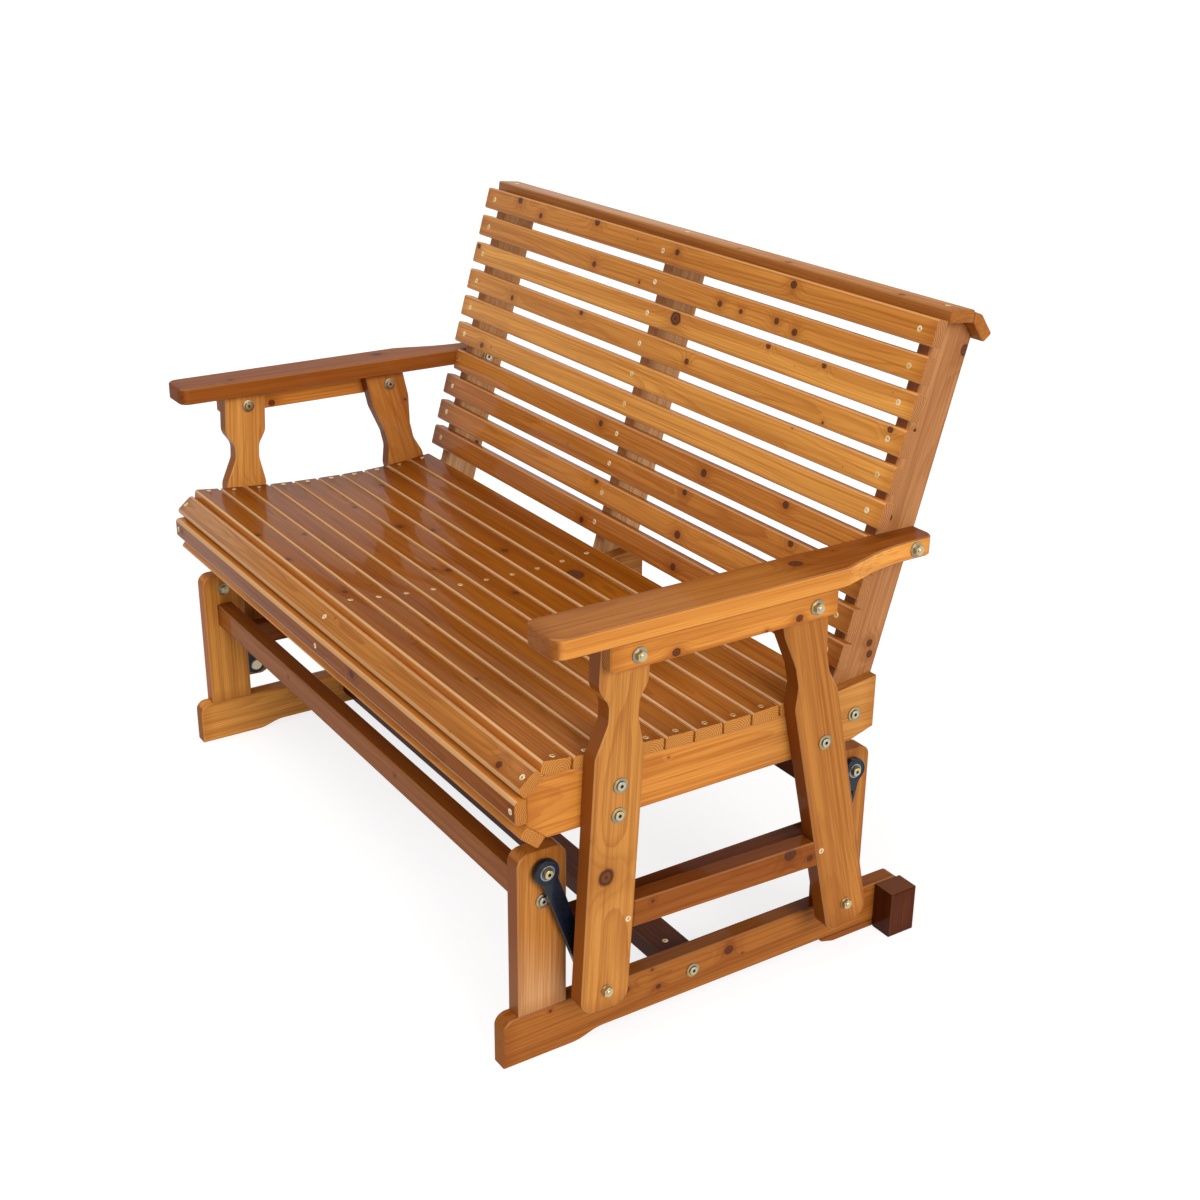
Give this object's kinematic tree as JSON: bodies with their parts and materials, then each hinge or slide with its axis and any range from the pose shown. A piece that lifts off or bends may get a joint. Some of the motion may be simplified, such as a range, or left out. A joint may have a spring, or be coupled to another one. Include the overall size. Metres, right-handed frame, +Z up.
{
  "type": "glider bench",
  "caption": "Slatted cedar porch glider bench: seat with back and armrests swinging on metal links over a low base frame.",
  "frame": {"origin": "middle of the footprint, on the floor", "axes": "+X along the bench, +Y to the back, +Z up; the sitter faces -Y"},
  "size_m": [1.3308, 0.7614, 0.9754],
  "materials": {
    "frame_cedar": "oiled, satin",
    "slat_cedar": "oiled, satin",
    "link_paint": "gloss black",
    "zinc_steel": "bright zinc plate",
    "bearing_steel": "ground steel"
  },
  "bodies": {
    "base": {"left_foot_rail": "frame_cedar", "left_rear_foot_pad": "frame_cedar", "left_stop_block": "frame_cedar", "left_front_post": "frame_cedar", "left_rear_post": "frame_cedar", "left_base_side_stretcher": "frame_cedar", "right_foot_rail": "frame_cedar", "right_rear_foot_pad": "frame_cedar", "right_stop_block": "frame_cedar", "right_front_post": "frame_cedar", "right_rear_post": "frame_cedar", "right_base_side_stretcher": "frame_cedar", "front_cross_stretcher": "frame_cedar", "rear_cross_stretcher": "frame_cedar", "lower_cross_stretcher": "frame_cedar", "base_bolts": "zinc_steel", "base_lag_screws": "zinc_steel", "upper_pivot_bolts": "zinc_steel"},
    "front_links": {"left_front_link": "link_paint", "right_front_link": "link_paint", "front_link_bearings": "bearing_steel"},
    "seat": {"left_front_leg": "frame_cedar", "left_rear_leg": "frame_cedar", "left_seat_side_stretcher": "frame_cedar", "left_arm_cleat": "frame_cedar", "left_armrest": "frame_cedar", "left_seat_rail": "frame_cedar", "left_back_upright": "frame_cedar", "right_front_leg": "frame_cedar", "right_rear_leg": "frame_cedar", "right_seat_side_stretcher": "frame_cedar", "right_arm_cleat": "frame_cedar", "right_armrest": "frame_cedar", "right_seat_rail": "frame_cedar", "right_back_upright": "frame_cedar", "centre_seat_rail": "frame_cedar", "centre_back_upright": "frame_cedar", "seat_frame_bolts": "zinc_steel", "armrest_screws": "zinc_steel", "lower_pivot_bolts": "zinc_steel", "bevel_nose_slat": "slat_cedar", "fascia_slat": "slat_cedar", "under_nose_slat": "slat_cedar", "cap_slat": "slat_cedar", "roll_slat": "slat_cedar", "seat_slats": "slat_cedar", "back_slat_01": "slat_cedar", "back_slat_02": "slat_cedar", "back_slat_03": "slat_cedar", "back_slat_04": "slat_cedar", "back_slat_05": "slat_cedar", "back_slat_06": "slat_cedar", "back_slat_07": "slat_cedar", "back_slat_08": "slat_cedar", "back_slat_09": "slat_cedar", "back_slat_10": "slat_cedar"},
    "rear_links": {"left_rear_link": "link_paint", "right_rear_link": "link_paint", "rear_link_bearings": "bearing_steel", "rear_link_pins": "zinc_steel"}
  },
  "joints": [
    {"name": "front_link_swing", "type": "hinge", "parent": "base", "child": "front_links", "pos_m": [0, -0.319, 0.3], "axis": [1, 0, 0], "range_deg": [-21.3, 24.8]},
    {"name": "seat_on_front_links", "type": "hinge", "parent": "front_links", "child": "seat", "pos_m": [0, -0.25459, 0.11912], "axis": [1, 0, 0], "range_deg": [-31, 26.6]},
    {"name": "rear_link_swing", "type": "hinge", "parent": "base", "child": "rear_links", "pos_m": [0, 0.208, 0.3], "axis": [1, 0, 0], "range_deg": [-19.7, 22.9]}
  ],
  "couplings": [
    {"joint": "seat_on_front_links", "follows": "front_link_swing", "ratio": -1.24},
    {"joint": "rear_link_swing", "follows": "front_link_swing", "ratio": 0.9182}
  ]
}
